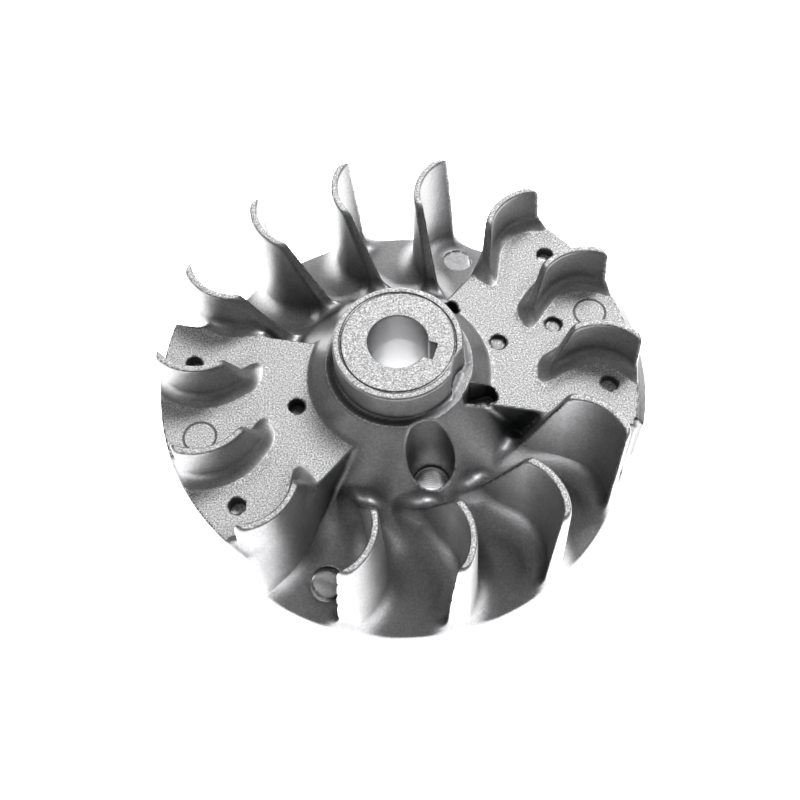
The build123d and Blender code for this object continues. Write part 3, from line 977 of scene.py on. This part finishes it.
class FLYWHEEL_OT_puller_threads(bpy.types.Operator):
    """Cuts the threads of the puller holes"""

    bl_idname = "flywheel.puller_threads"
    bl_label = "Puller threads"

    def execute(self, context):
        material = bpy.data.materials["cast_aluminium"]
        for name, degrees in zip(("front", "back"), PULLER_ANGLES):
            points, quads = puller_thread(place(PULLER_R, degrees))
            mesh = bpy.data.meshes.new(f"puller_thread_{name}")
            mesh.from_pydata(points.tolist(), [], quads.tolist())
            mesh.materials.append(material)
            mesh.polygons.foreach_set("use_smooth", [True] * len(mesh.polygons))
            centre = np.array(place(PULLER_R, degrees))
            # Painted light: the thread roots get low 'open' values, so the corner darkening paints shade into
            # them, and the crests are marked 'blasted', so they are painted bright as a highlight.
            root = (np.linalg.norm(points[:, :2] - centre, axis=1) - PULLER_THREAD_R) / PULLER_THREAD_DEPTH
            dark = np.clip(1.6 * root, 0, 1)
            for label, values in (("open", 1 - 0.9 * dark), ("blasted", 1 - dark)):
                attribute = mesh.attributes.new(label, "FLOAT", "POINT")
                attribute.data.foreach_set("value", values)
            piece = bpy.data.objects.new(f"puller_thread_{name}", mesh)
            context.collection.objects.link(piece)
            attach(piece, "root")
        return {"FINISHED"}


class FLYWHEEL_OT_cast_in_iron(bpy.types.Operator):
    """Gives the magnet, the sheets and the rivets their finishes"""

    bl_idname = "flywheel.cast_in_iron"
    bl_label = "Cast-in iron"

    def execute(self, context):
        finishes = {"sheet": turned_steel(), "rivets": rivet_steel(), "magnet": magnet_alloy()}
        for name, piece in NODES.items():
            for word, material in finishes.items():
                if word in name:
                    for slot in piece.material_slots:
                        slot.material = material
        return {"FINISHED"}


class FLYWHEEL_OT_stage(bpy.types.Operator):
    """Sets up the floor, the lamps and the camera"""

    bl_idname = "flywheel.stage"
    bl_label = "Stage"

    def lamp(self, context, name, power, position, target):
        light = bpy.data.lights.new(name, "AREA")
        light.energy = power
        light.shape = "DISK"
        light.size = LAMP_SIZE
        lamp = bpy.data.objects.new(name, light)
        lamp.location = position
        lamp.rotation_euler = (Vector(target) - Vector(position)).to_track_quat("-Z", "Y").to_euler()
        context.collection.objects.link(lamp)

    def floor(self, context, tone):
        mesh = bpy.data.meshes.new("floor")
        signs = ((-1, -1), (1, -1), (1, 1), (-1, 1))
        corners = [(x * FLOOR_HALF, y * FLOOR_HALF, RIM_BASE_Z) for x, y in signs]
        mesh.from_pydata(corners, [], [(0, 1, 2, 3)])
        shader = Shader(bpy.data.materials.new("floor_paper"))
        fibres = shader.noise(1.5 * MM, 3.0, 0.6)
        skin = shader.bump(fibres, 0.01 * MM)
        shader.set(base_color=tone, roughness=0.85, specular_ior_level=0.1, normal=skin)
        flat = shader.node("ShaderNodeTexCoord", {}, {}, "Object")
        away = shader.node("ShaderNodeVectorMath", {"operation": "LENGTH"}, {0: flat}, "Value")
        glow = shader.mix(away.above(*GLOW_REACH), *GLOW_TONES)
        shader.set(emission_color=glow, emission_strength=context.scene.flywheel_stage.floor_glow)
        mesh.materials.append(shader.owner)
        floor = bpy.data.objects.new("floor", mesh)
        context.collection.objects.link(floor)

    def camera(self, context, stage):
        up_angle = stage.elevation
        back = Vector((0, -math.cos(up_angle), math.sin(up_angle)))
        up = Vector((0, math.sin(up_angle), math.cos(up_angle)))
        right = Vector((1, 0, 0))
        c, s = math.cos(stage.roll), math.sin(stage.roll)
        columns = (right * c + up * s, up * c - right * s, back)
        turn = Matrix(columns).transposed().to_4x4()
        data = bpy.data.cameras.new("camera")
        data.lens = stage.lens
        data.sensor_width = SENSOR
        data.shift_x, data.shift_y = CAMERA_SHIFT
        data.clip_start = CLIP_START
        camera = bpy.data.objects.new("camera", data)
        camera.matrix_world = Matrix.Translation(Vector((0, 0, SECTOR_Z)) + back * stage.distance) @ turn
        context.collection.objects.link(camera)
        context.scene.camera = camera

    def sky(self, context, stage):
        """Light from all round, brighter overhead than near the floor."""
        world = bpy.data.worlds.new("sky")
        context.scene.world = world
        shader = Shader(world, "Background")
        direction = shader.node("ShaderNodeTexCoord", {}, {}, "Generated")
        height = shader.node("ShaderNodeSeparateXYZ", {}, {"Vector": direction}, "Z")
        tone = shader.mix(height.above(0.0, 0.75), (stage.sky_low,) * 3, (stage.sky_high,) * 3)
        shader.set(color=tone, strength=1.0)

    def execute(self, context):
        stage = context.scene.flywheel_stage
        self.floor(context, tuple(stage.floor_tone))
        self.camera(context, stage)
        middle = (0, 0, SECTOR_Z)
        self.lamp(context, "low_lamp", stage.low_power, LOW_LAMP, middle)
        self.lamp(context, "top_lamp", stage.top_power, TOP_LAMP, middle)
        self.sky(context, stage)
        context.scene.view_settings.view_transform = "Standard"
        return {"FINISHED"}


class FLYWHEEL_PT_panel(bpy.types.Panel):
    """Sizes, finishes and steps of the flywheel"""

    bl_idname = "FLYWHEEL_PT_panel"
    bl_label = "Fan flywheel"
    bl_space_type = "VIEW_3D"
    bl_region_type = "UI"
    bl_category = "Flywheel"

    def draw(self, context):
        for key in GROUPS:
            group = getattr(context.scene, key)
            box = self.layout.box()
            for name in group.bl_rna.properties.keys():
                if name not in ("rna_type", "name"):
                    box.prop(group, name)
        for step in STEPS:
            self.layout.operator(step.bl_idname)


STEPS = (FLYWHEEL_OT_cast_wheel, FLYWHEEL_OT_puller_threads, FLYWHEEL_OT_cast_in_iron, FLYWHEEL_OT_stage)
GROUPS = {
    "flywheel_casting": FlywheelCasting,
    "flywheel_finish": FlywheelFinish,
    "flywheel_stage": FlywheelStage,
}


def register():
    for kind in (*GROUPS.values(), *STEPS, FLYWHEEL_PT_panel):
        bpy.utils.register_class(kind)
    for name, kind in GROUPS.items():
        setattr(bpy.types.Scene, name, PointerProperty(type=kind))


def unregister():
    for name in GROUPS:
        delattr(bpy.types.Scene, name)
    for kind in reversed((*GROUPS.values(), *STEPS, FLYWHEEL_PT_panel)):
        bpy.utils.unregister_class(kind)


def main():
    register()
    bpy.ops.flywheel.cast_wheel()
    bpy.ops.flywheel.puller_threads()
    bpy.ops.flywheel.cast_in_iron()
    bpy.ops.flywheel.stage()


if __name__ == "__main__":
    main()
